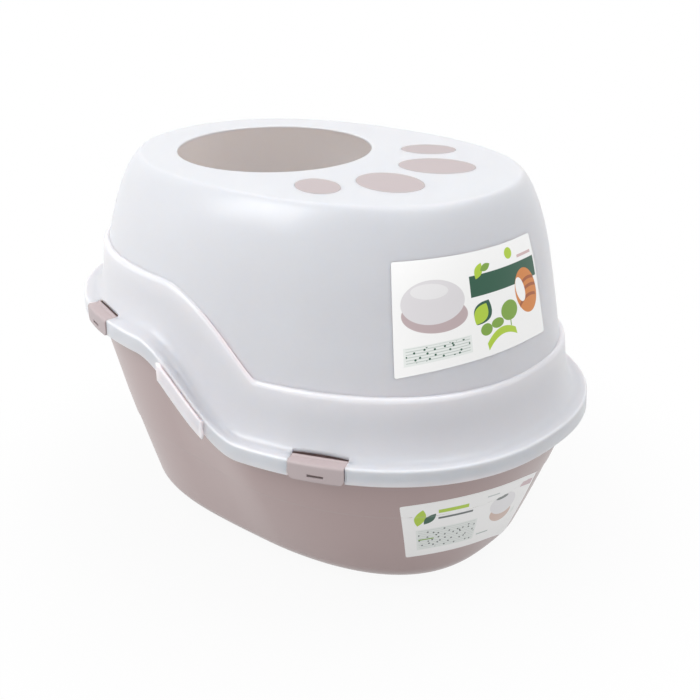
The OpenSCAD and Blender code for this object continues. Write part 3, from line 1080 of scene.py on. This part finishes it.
@dataclass
class Tray:
    """The open tray: floor, foot, wall with its step, flange and turned-down edge."""

    rim: Rim
    wall: float = 2.6 * MM
    inset: float = 13 * MM
    foot_end_inset: float = 74 * MM
    foot_side_inset: float = 81.5 * MM
    foot_shift: float = 3 * MM
    foot_squareness: float = 2.7
    floor_round: float = 22 * MM
    foot_edge: float = 3 * MM
    step_height: float = 105 * MM
    step_depth: float = 0.9 * MM
    turn_face: float = 3.3 * MM
    turn_wall: float = 2.2 * MM
    turn_top: float = 12.7 * MM
    turn_height: float = 10 * MM
    wall_bow: float = 0.14
    outer_heights: tuple[int, ...] = (34, 52, 70, 88, 102)
    inner_heights: tuple[int, ...] = (104, 70, 45)
    piece: Object | None = field(default=None, init=False)

    def at_wall(self, inset: float, height: float) -> TrayLevel:
        """A level on the wall, at a height above the floor."""
        return TrayLevel(inset=inset, rim_inset=self.inset + inset, height=height)

    def at_rim(self, inset: float, up: float) -> TrayLevel:
        """A level that follows the rim, at a distance inwards from the lip."""
        return TrayLevel(rim_inset=inset, up=up, at_rim=1.0)

    def levels(self) -> list[TrayLevel]:
        """Every level, from the floor's underside up the outside and down the inside."""
        step, radius, edge = self.step_depth, self.floor_round, 0.5 * MM
        turns = [math.radians(90 * (1 - k / 12)) for k in range(13)]
        under, lower, round_off = self.turn_top - self.turn_wall, self.turn_top - self.turn_height, 1.2 * MM
        face, outer = self.turn_face, self.turn_face + self.turn_wall
        inner, inner_inset, inner_floor = radius - self.wall, step + self.wall, self.foot_edge + self.wall
        levels = [
            self.at_wall(step + radius + more * MM, up * MM)
            for more, up in ((14, 0), (2, 0), (1, 0), (0.5, 0.5))
        ]
        levels += [self.at_wall(step + x, self.foot_edge + z) for x, z in rounding(radius, turns)]
        levels += [self.at_wall(step, z * MM) for z in self.outer_heights]
        levels += [self.at_wall(inset, self.step_height + up * MM) for inset, up in (
            (step, -1), (step * 0.5, -0.5), (0.02 * MM, 0), (0, 1), (0, 12), (0, 26),
        )]
        levels += [self.at_rim(inset, up) for inset, up in (
            (self.inset, under - 6 * MM),
            (self.inset, under - 3 * MM),
            (self.inset - 0.6 * MM, under - 0.9 * MM),
            (self.inset - 2 * MM, under),
            (outer + 0.8 * MM, under - 0.1 * MM),
            (outer, under - 0.6 * MM),
            (outer, lower + edge),
            (outer - edge, lower),
            (face + edge, lower),
            (face, lower + edge),
        )]
        levels += [self.at_rim(face + x, self.turn_top - z) for x, z in rounding(round_off, turns[::-3])]
        levels += [self.at_rim(self.inset + self.wall + inset * MM, up) for inset, up in (
            (-2, self.turn_top - 0.8 * MM), (-0.4, under - 0.6 * MM), (0, under - 2 * MM),
        )]
        levels += [self.at_wall(self.wall, self.step_height + z * MM) for z in (26, 1)]
        levels += [self.at_wall(self.wall + step, z * MM) for z in self.inner_heights]
        levels += [self.at_wall(inner_inset + x, inner_floor + z) for x, z in rounding(inner, turns[::-1])]
        levels += [self.at_wall(inner_inset + inner + 2 * MM, inner_floor)]
        return levels

    def tree(self) -> GeometryTree:
        """The rule of the tray's shape, as Geometry Nodes."""
        foot = ["foot_end_inset", "foot_side_inset", "foot_squareness", "foot_shift", "wall_bow"]
        tree = GeometryTree("Tray skin", {**self.rim.sizes(), **named(self, foot)})
        size, stored = tree.size, tree.stored
        inset, up, at_rim = stored("inset"), stored("up"), stored("at_rim")
        x, y, edge = self.rim.nodes(tree, stored("rim_inset"), up)
        foot_x, foot_y = oval_at(
            tree, stored("turn"),
            size("Rim length") / 2.0 - size("Foot end inset") - inset,
            size("Rim width") / 2.0 - size("Foot side inset") - inset,
            size("Foot squareness"),
        )
        height = stored("height")
        climbed = height / edge
        bowed = climbed + size("Wall bow") * climbed * (1.0 - climbed)
        share = bowed.mix(1.0, at_rim)
        foot_x = foot_x - size("Foot shift")
        tree.end(tree.xyz(foot_x.mix(x, share), foot_y.mix(y, share), height.mix(edge, at_rim)))
        return tree

    def build(self, finish: Material) -> None:
        """Makes the tray and dresses it."""
        self.piece = moulded("tray_shell", self.levels(), self.tree(), finish)
        smoothed(self.piece, SHELL_SHARP)
        dress(self.piece, finish, Body.TRAY, Slot.TRAY, "tray")


# ---- Labels ----

# Of printed shapes: the band of an arch as a share of its half width, the steepness of an edge per
# millimetre, the distance between rules in millimetres and the share of it left free, and the
# dots' number per millimetre and their radius as a share of their cells.
ARCH_SHARE = 0.45
EDGE_STEEPNESS = 3.0
RULE_PITCH = 2.6
RULE_SPACE = 0.68
DOT_DENSITY = 0.16
DOT_RADIUS = 0.16


class Shape(Enum):
    """The shapes that a label is printed with."""

    OVAL = "oval"
    BAR = "bar"
    LEAF = "leaf"
    ARCH = "arch"
    RULES = "rules"
    DOTS = "dots"


@dataclass(frozen=True)
class Mark:
    """One printed shape, with its middle and its whole length and width in millimetres."""

    shape: Shape
    x: float
    y: float
    length: float
    width: float
    colour: Colour
    turn: float = 0.0

    def mask(self, nodes: Nodes, x: Number, y: Number) -> Number:
        """Nodes for the shape: 1 where it prints and 0 elsewhere.

        Args:
            nodes: the material's nodes.
            x: distance from the label's left edge, in millimetres.
            y: distance from its lower edge.

        Returns:
            The mask.
        """
        cosine, sine = math.cos(math.radians(self.turn)), math.sin(math.radians(self.turn))
        along = (x - self.x) * cosine + (y - self.y) * sine
        over = (y - self.y) * cosine - (x - self.x) * sine
        a, b = self.length / 2, self.width / 2
        p, q = along * (1 / a), over * (1 / b)
        if self.shape is Shape.OVAL:
            depth = (1.0 - (p * p + q * q).math("SQRT")) * min(a, b)
        elif self.shape is Shape.LEAF:
            depth = (1.0 - p * p) * b - over.math("ABSOLUTE")
        elif self.shape is Shape.ARCH:
            bent = over + (p * p) * b
            depth = (ARCH_SHARE * b - bent.math("ABSOLUTE")).math("MINIMUM", (1.0 - p.math("ABSOLUTE")) * a)
        else:
            depth = ((1.0 - p.math("ABSOLUTE")) * a).math("MINIMUM", (1.0 - q.math("ABSOLUTE")) * b)
        mask = (depth * EDGE_STEEPNESS).math("MAXIMUM", 0.0).math("MINIMUM", 1.0)
        if self.shape is Shape.RULES:
            mask = mask * (over * (1 / RULE_PITCH)).math("FRACT").math("GREATER_THAN", RULE_SPACE)
        elif self.shape is Shape.DOTS:
            dots = nodes.cells(nodes.xyz(along, over, 0.0), DOT_DENSITY, "2D")
            mask = mask * dots.math("LESS_THAN", DOT_RADIUS)
        return mask


@dataclass(frozen=True)
class LabelPrint:
    """A glossy printed film: white, with its marks one over another."""

    name: str
    length: float
    width: float
    marks: tuple[Mark, ...]
    white: Colour = (0.93, 0.93, 0.925)
    fibre_scale: float = 900.0
    fibre_depth: float = 0.006 * MM
    coat: float = 0.15

    def build(self) -> Material:
        """The material, from its nodes."""
        material, nodes, shader = new_material(self.name)
        coordinates = nodes.add("ShaderNodeTexCoord").outputs
        across, along, _ = nodes.parts(coordinates["UV"])
        x, y = across * (self.length / MM), along * (self.width / MM)
        fibre = nodes.noise(coordinates["Object"], Scale=self.fibre_scale, Detail=3.0)
        colour = nodes.ramp(fibre, (0.0, tuple(0.975 * c for c in self.white)), (1.0, self.white))
        for mark in self.marks:
            colour = nodes.tinted(colour, mark.colour, mark.mask(nodes, x, y))
        nodes.fill(
            shader, Base_Color=colour, Roughness=fibre * 0.12 + 0.3,
            Normal=nodes.bump(fibre * self.fibre_depth), Coat_Weight=self.coat, Coat_Roughness=self.coat,
        )
        return material


@dataclass(frozen=True)
class LabelEdge:
    """One long edge of a label: its angle round the wrap and its height, for places from -1 to 1."""

    turn: float
    reach: float
    level: float
    tilt: float
    bow: float

    def sizes(self, name: str) -> dict[str, float]:
        """The named inputs of this edge, in radians and metres."""
        return {
            f"{name} turn": math.radians(self.turn),
            f"{name} reach": math.radians(self.reach),
            f"{name} level": self.level,
            f"{name} tilt": self.tilt,
            f"{name} bow": self.bow,
        }


def sheet_mesh(name: str, length: float, width: float, corner: float) -> Mesh:
    """A sheet with rounded corners, which stores how far across and along it each point is.

    Args:
        name: the mesh's name.
        length: its long side.
        width: its short side.
        corner: the corners' radius.

    Returns:
        The mesh, with a UV map over the whole sheet.
    """
    arc = [math.radians(a) for a in range(0, 90, 15)]
    rounded = rounding(corner, arc)
    rows = [(low / width, side) for low, side in rounded]
    rows += [(v, 0.0) for v in np.linspace(corner / width, 1 - corner / width, 48)]
    rows += [(1 - low / width, side) for low, side in rounded[::-1]]
    columns = np.linspace(-1.0, 1.0, 97)
    across = np.array([columns * (1 - 2 * side / length) for _, side in rows])
    along = np.array([np.full(len(columns), v) for v, _ in rows])
    points = np.stack([across * length / 2, along * width, np.zeros_like(along)], axis=-1).reshape(-1, 3)
    count = len(columns)
    faces = [
        (low, low + 1, low + count + 1, low + count)
        for row in range(0, (len(rows) - 1) * count, count)
        for low in range(row, row + count - 1)
    ]
    mesh = bpy.data.meshes.new(name)
    mesh.from_pydata(points.tolist(), [], faces)
    for key, values in (("across", across), ("along", along)):
        mesh.attributes.new(key, "FLOAT", "POINT").data.foreach_set("value", values.ravel())
    chart = mesh.uv_layers.new(name="UVMap")
    for loop in mesh.loops:
        u, v = across.ravel()[loop.vertex_index], along.ravel()[loop.vertex_index]
        chart.data[loop.index].uv = ((u + 1) / 2, v)
    return mesh


@dataclass(frozen=True)
class Label:
    """A printed film that is wrapped on a shell's wall.

    Its edges are angles round an upright axis at wrap_x and wrap_y. Each point is cast at the wall
    from the start's distance to that axis, and lies a lift above what it hits.
    """

    name: str
    body: Body
    slot: Slot
    lower: LabelEdge
    upper: LabelEdge
    printed: LabelPrint
    corner: float = 2 * MM
    wrap_x: float = 91.3 * MM
    wrap_y: float = 1.8 * MM
    start: float = 450 * MM
    lift: float = 0.06 * MM
    film: float = 0.14 * MM

    def tree(self) -> GeometryTree:
        """The rule that lays the film on the wall, as Geometry Nodes."""
        tree = GeometryTree(f"{self.name} wrap", {
            "Wrap x": self.wrap_x, "Wrap y": self.wrap_y, "Start": self.start, "Lift": self.lift,
            **self.lower.sizes("Lower"), **self.upper.sizes("Upper"),
        })
        size, stored = tree.size, tree.stored
        across, along = stored("across"), stored("along")

        def edge(name: str) -> tuple[Number, Number]:
            """Angle and height on one long edge."""
            turn = size(f"{name} turn") + size(f"{name} reach") * across
            sag = size(f"{name} bow") * across * across
            return turn, size(f"{name} level") + size(f"{name} tilt") * across - sag

        (low_turn, low_z), (high_turn, high_z) = edge("Lower"), edge("Upper")
        turn, z = low_turn.mix(high_turn, along), low_z.mix(high_z, along)
        out_x, out_y = turn.math("COSINE"), turn.math("SINE")
        start, lift = size("Start"), size("Lift")
        wall = tree.add(
            "GeometryNodeObjectInfo", {"transform_space": "RELATIVE"}, Object=tree.start.outputs["Wall"]
        )
        ray = tree.add(
            "GeometryNodeRaycast", {"mapping": "INTERPOLATED"}, Target_Geometry=wall.outputs["Geometry"],
            Source_Position=tree.xyz(
                size("Wrap x") + out_x * start, size("Wrap y") + out_y * start, z
            ),
            Ray_Direction=tree.xyz(out_x * -1.0, out_y * -1.0, 0.0), Ray_Length=start,
        ).outputs
        lifted = tree.add("ShaderNodeVectorMath", {"operation": "MULTIPLY_ADD"})
        terms = (ray["Hit Normal"], tree.xyz(lift, lift, lift), ray["Hit Position"])
        for socket, term in zip(lifted.inputs, terms):
            tree.tree.links.new(term, socket)
        tree.end(lifted.outputs[0])
        return tree

    def build(self, wall: Object) -> None:
        """Lays the film on a shell and dresses it."""
        finish = self.printed.build()
        size = (self.printed.length, self.printed.width, self.corner)
        sheet = new_object(self.name, sheet_mesh(self.name, *size))
        self.tree().applied(sheet, finish, wall)
        modify(sheet, "SOLIDIFY", thickness=self.film, offset=1.0)
        settle(sheet)
        smoothed(sheet, DETAIL_SHARP)
        dress(sheet, finish, self.body, self.slot)


WHITE = (0.93, 0.93, 0.925)
PALE = (0.80, 0.83, 0.81)
GREY = (0.71, 0.69, 0.71)
MAUVE = (0.50, 0.40, 0.41)
DARK_GREEN = (0.010, 0.085, 0.045)
GREEN = (0.20, 0.36, 0.045)
LIGHT_GREEN = (0.42, 0.60, 0.04)
ORANGE = (0.64, 0.22, 0.045)
RUST = (0.36, 0.09, 0.02)
INK = (0.10, 0.12, 0.12)

HOOD_PRINT = LabelPrint("hood label print", 165 * MM, 100 * MM, (
    Mark(Shape.OVAL, 38, 50, 62, 32, MAUVE, -8),
    Mark(Shape.OVAL, 37, 62, 60, 40, GREY, -4),
    Mark(Shape.OVAL, 34, 72, 36, 14, (0.80, 0.79, 0.80), -4),
    Mark(Shape.BAR, 39, 17, 62, 17, PALE),
    Mark(Shape.RULES, 39, 17, 58, 15, (0.55, 0.60, 0.57)),
    Mark(Shape.DOTS, 39, 17, 58, 13, DARK_GREEN),
    Mark(Shape.BAR, 118, 69, 90, 20, DARK_GREEN),
    Mark(Shape.LEAF, 84, 82, 16, 9, LIGHT_GREEN, 60),
    Mark(Shape.LEAF, 92, 84, 13, 7, GREEN, 20),
    Mark(Shape.OVAL, 124, 90, 11, 11, LIGHT_GREEN),
    Mark(Shape.BAR, 148, 84, 24, 3, (0.62, 0.45, 0.45)),
    Mark(Shape.OVAL, 143, 49, 34, 46, ORANGE, 12),
    Mark(Shape.ARCH, 144, 60, 26, 8, RUST, 12),
    Mark(Shape.ARCH, 144, 52, 30, 8, RUST, 12),
    Mark(Shape.ARCH, 143, 43, 28, 8, RUST, 12),
    Mark(Shape.OVAL, 134, 52, 13, 26, WHITE, 14),
    Mark(Shape.LEAF, 84, 43, 26, 20, DARK_GREEN, 55),
    Mark(Shape.LEAF, 82, 42, 22, 15, LIGHT_GREEN, 55),
    Mark(Shape.OVAL, 86, 26, 13, 12, GREEN),
    Mark(Shape.OVAL, 99, 29, 15, 10, GREEN),
    Mark(Shape.OVAL, 115, 37, 22, 20, GREEN),
    Mark(Shape.BAR, 115, 26, 1.6, 9, GREEN),
    Mark(Shape.ARCH, 102, 20, 36, 17, LIGHT_GREEN, 10),
))
TRAY_PRINT = LabelPrint("tray label print", 170 * MM, 76 * MM, (
    Mark(Shape.LEAF, 17, 56, 24, 11, LIGHT_GREEN, 75),
    Mark(Shape.LEAF, 26, 53, 18, 9, DARK_GREEN, 50),
    Mark(Shape.BAR, 49, 62, 30, 5, LIGHT_GREEN),
    Mark(Shape.BAR, 52, 52, 36, 3, INK),
    Mark(Shape.BAR, 45, 24, 66, 30, PALE),
    Mark(Shape.RULES, 45, 24, 62, 27, (0.62, 0.66, 0.64)),
    Mark(Shape.DOTS, 45, 24, 62, 26, INK),
    Mark(Shape.BAR, 22, 24, 16, 2, GREEN),
    Mark(Shape.OVAL, 116, 36, 42, 24, (0.60, 0.43, 0.36), -4),
    Mark(Shape.OVAL, 115, 48, 46, 28, (0.78, 0.77, 0.79), -4),
    Mark(Shape.OVAL, 108, 58, 20, 5, (0.10, 0.13, 0.12), 6),
    Mark(Shape.BAR, 92, 66, 16, 2, (0.55, 0.58, 0.58)),
    Mark(Shape.BAR, 92, 14, 20, 2, (0.40, 0.46, 0.44)),
    Mark(Shape.BAR, 152, 66, 28, 7, (0.55, 0.38, 0.41)),
    Mark(Shape.OVAL, 146, 34, 8, 8, PALE),
))
LABELS = [
    Label(
        "hood_label", Body.HOOD, Slot.TRIM,
        LabelEdge(-21.6, 30.5, 258 * MM, 5 * MM, 5.6 * MM),
        LabelEdge(-23.35, 29.85, 353.9 * MM, 1.5 * MM, 1.3 * MM), HOOD_PRINT,
    ),
    Label(
        "tray_label", Body.TRAY, Slot.TRIM,
        LabelEdge(-17.45, 30.45, 43.5 * MM, -15.5 * MM, 14.3 * MM),
        LabelEdge(-20.85, 29.85, 124.8 * MM, -7.4 * MM, 12.1 * MM), TRAY_PRINT,
    ),
]


# ---- Studio ----


@dataclass(frozen=True)
class Lamp:
    """A soft square lamp that faces the object."""

    name: str
    place: tuple[float, float, float]
    size: float
    energy: float

    def build(self, target: Vector) -> None:
        """Makes the lamp, aimed at a point."""
        data = bpy.data.lights.new(self.name, "AREA")
        data.energy = self.energy
        data.size = self.size
        lamp = new_object(self.name, data)
        lamp.location = self.place
        lamp.rotation_euler = (target - Vector(self.place)).to_track_quat("-Z", "Y").to_euler()


@dataclass(frozen=True)
class Studio:
    """Floor, world, lamps and camera."""

    camera_place: tuple[float, float, float] = (0.77715, -0.87487, 0.68976)
    target_height: float = 0.190
    azimuth: float = 41.615
    elevation: float = 23.126
    roll: float = -1.579
    focal_pixels: float = 1170.01
    middle_pixels: tuple[float, float] = (327.48, 341.29)
    sensor: float = 36.0
    lamps: tuple[Lamp, ...] = (
        Lamp("key", (-0.9, -1.6, 1.7), 1.2, 24), Lamp("top", (0.8, 0.1, 2.2), 1.4, 12),
    )
    sky: float = 0.9
    floor_reach: float = 6.0
    floor_colour: float = 0.5
    white_share: float = 0.93
    shadow_start: float = 200 * MM
    shadow_end: float = 520 * MM

    def camera(self) -> None:
        """The camera, which looks down on the box from its low end's right side."""
        azimuth, elevation, roll = (math.radians(v) for v in (self.azimuth, self.elevation, self.roll))
        flat = math.cos(elevation)
        back = Vector((math.sin(azimuth) * flat, -math.cos(azimuth) * flat, math.sin(elevation)))
        level = (-back).cross(Vector((0, 0, 1))).normalized()
        upright = level.cross(-back)
        right = math.cos(roll) * level + math.sin(roll) * upright
        up = math.cos(roll) * upright - math.sin(roll) * level
        data = bpy.data.cameras.new("camera")
        data.sensor_width = self.sensor
        data.lens = self.focal_pixels / PICTURE_SIZE * self.sensor
        data.shift_x = (PICTURE_SIZE / 2 - self.middle_pixels[0]) / PICTURE_SIZE
        data.shift_y = (self.middle_pixels[1] - PICTURE_SIZE / 2) / PICTURE_SIZE
        camera = new_object("camera", data)
        rows = [(right[i], up[i], back[i], self.camera_place[i]) for i in range(3)]
        camera.matrix_world = Matrix([*rows, (0, 0, 0, 1)])
        bpy.context.scene.camera = camera

    @staticmethod
    def seen(nodes: Nodes) -> Number:
        """1 where a ray comes from the camera, a reflection or a clear body, and 0 elsewhere."""
        path = nodes.add("ShaderNodeLightPath")
        ray = nodes.number(path.outputs["Is Camera Ray"])
        for name in ("Is Glossy Ray", "Is Transmission Ray"):
            ray = ray.math("MAXIMUM", nodes.number(path.outputs[name]))
        return ray

    def world(self) -> None:
        """White where it is seen, and a plain soft light elsewhere."""
        world = bpy.data.worlds.new("studio")
        bpy.context.scene.world = world
        world.use_nodes = True
        nodes = Nodes(world.node_tree)
        background = world.node_tree.nodes["Background"]
        background.inputs["Color"].default_value = (1, 1, 1, 1)
        (self.seen(nodes) * (1 - self.sky) + self.sky).feed(background.inputs["Strength"])

    def floor(self) -> None:
        """A wide floor: white with a faint shadow near the object, and plain white further off."""
        mesh = bpy.data.meshes.new("floor")
        reach = self.floor_reach
        corners = [(-reach, -reach, 0), (reach, -reach, 0), (reach, reach, 0), (-reach, reach, 0)]
        mesh.from_pydata(corners, [], [(0, 1, 2, 3)])
        material, nodes, paint = new_material("floor white")
        nodes.fill(paint, Base_Color=(*[self.floor_colour] * 3, 1), Roughness=0.9)
        x, y, _ = nodes.parts(nodes.add("ShaderNodeTexCoord").outputs["Object"])
        away = ((x * x + y * y).math("SQRT") - self.shadow_start) / (self.shadow_end - self.shadow_start)
        share = away.smooth() * (1.0 - self.white_share) + self.white_share
        white = nodes.add("ShaderNodeEmission", Color=(1, 1, 1, 1), Strength=1.0)
        mixed = nodes.add("ShaderNodeMixShader", Fac=self.seen(nodes) * share)
        material.node_tree.links.new(paint.outputs[0], mixed.inputs[1])
        material.node_tree.links.new(white.outputs[0], mixed.inputs[2])
        nodes.fill(material.node_tree.nodes["Material Output"], Surface=mixed.outputs[0])
        mesh.materials.append(material)
        new_object("floor", mesh)

    def build(self) -> None:
        """Makes the studio."""
        bpy.context.scene.view_settings.view_transform = "Standard"
        self.floor()
        self.world()
        self.camera()
        for lamp in self.lamps:
            lamp.build(Vector((0, 0, self.target_height)))


def main() -> None:
    """Builds the object and its studio."""
    logging.basicConfig(level=logging.INFO, format="%(name)s: %(message)s")
    hood_plastic, trim_plastic = HOOD_PLASTIC.build(), TRIM_PLASTIC.build()
    rim, clips = Rim(), Clips()
    tray, hood = Tray(rim), Hood(rim, clips)
    tray.build(TRAY_PLASTIC.build())
    hood.build(hood_plastic)
    Inlays(hood).build(trim_plastic)
    clips.build(trim_plastic)
    walls = {Body.HOOD: hood.piece, Body.TRAY: tray.piece}
    for label in LABELS:
        label.build(walls[label.body])
    Studio().build()


if __name__ == "__main__":
    main()
